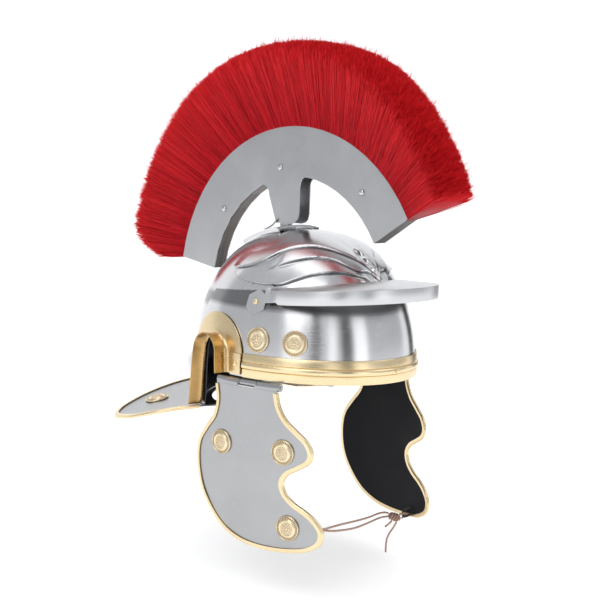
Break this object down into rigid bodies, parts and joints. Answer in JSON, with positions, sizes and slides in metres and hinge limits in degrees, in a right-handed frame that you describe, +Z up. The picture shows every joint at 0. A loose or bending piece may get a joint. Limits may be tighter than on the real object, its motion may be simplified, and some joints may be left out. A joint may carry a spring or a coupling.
{
  "type": "roman legionary helmet",
  "caption": "Roman legionary helmet: embossed steel bowl with brow, ear and neck guards, brass trim, tied cheek guards and a tall fore-and-aft bristle crest on a stem.",
  "frame": {"origin": "the middle of the crown's inner face, where the wearer's head meets the bowl", "axes": "+Z up, -Y towards the wearer's face, +X towards the wearer's left"},
  "size_m": [0.2806, 0.4369, 0.5115],
  "materials": {
    "polished_steel": "polished crown, finely brushed lower wall",
    "brass": "satin brass sheet",
    "stamped_brass": "stamped, darkened in the recesses",
    "lining": "smooth black",
    "crest_core": "grey-brown, matt",
    "bristle": "stiff red bristle, cut to an even brush",
    "thong": "plain tan thong",
    "loop_cord": "black cord"
  },
  "bodies": {
    "root": {"bowl": "polished_steel", "brow_guard": "polished_steel", "brow_rivet_left": "brass", "brow_rivet_right": "brass", "rim_band": "brass", "band_rivet": "brass", "band_clip_left": "brass", "band_clip_right": "brass", "ear_guard_left": "brass", "ear_guard_right": "brass", "neck_guard": "polished_steel", "neck_edging": "brass", "cheek_guard_left": "polished_steel", "cheek_guard_right": "polished_steel", "cheek_edging_left": "brass", "cheek_edging_right": "brass", "cheek_lining_left": "lining", "cheek_lining_right": "lining", "hinge_pin_left": "polished_steel", "hinge_pin_right": "polished_steel", "hinge_leaf_left": "polished_steel", "hinge_leaf_right": "polished_steel", "bowl_rosette_rear_left": "stamped_brass", "bowl_rosette_rear_right": "stamped_brass", "bowl_rosette_front_left": "stamped_brass", "bowl_rosette_front_right": "stamped_brass", "cheek_rosette_rear_left": "stamped_brass", "cheek_rosette_rear_right": "stamped_brass", "cheek_rosette_front_left": "stamped_brass", "cheek_rosette_front_right": "stamped_brass", "cheek_rosette_lower_left": "stamped_brass", "cheek_rosette_lower_right": "stamped_brass", "neck_rosette_left": "stamped_brass", "neck_rosette_right": "stamped_brass", "crest_plate_left": "polished_steel", "crest_plate_right": "polished_steel", "crest_core": "crest_core", "crest_plume": "bristle", "crest_rivet_rear": "polished_steel", "crest_rivet_middle": "polished_steel", "crest_rivet_front": "polished_steel", "crest_seat": "polished_steel", "crest_foot": "polished_steel", "crest_hook": "polished_steel", "tie_thong": "thong", "tie_bight": "thong", "tie_end_long": "thong", "tie_end_short": "thong", "tie_knot": "thong", "tie_loop_left": "loop_cord", "tie_loop_right": "loop_cord"}
  },
  "joints": []
}
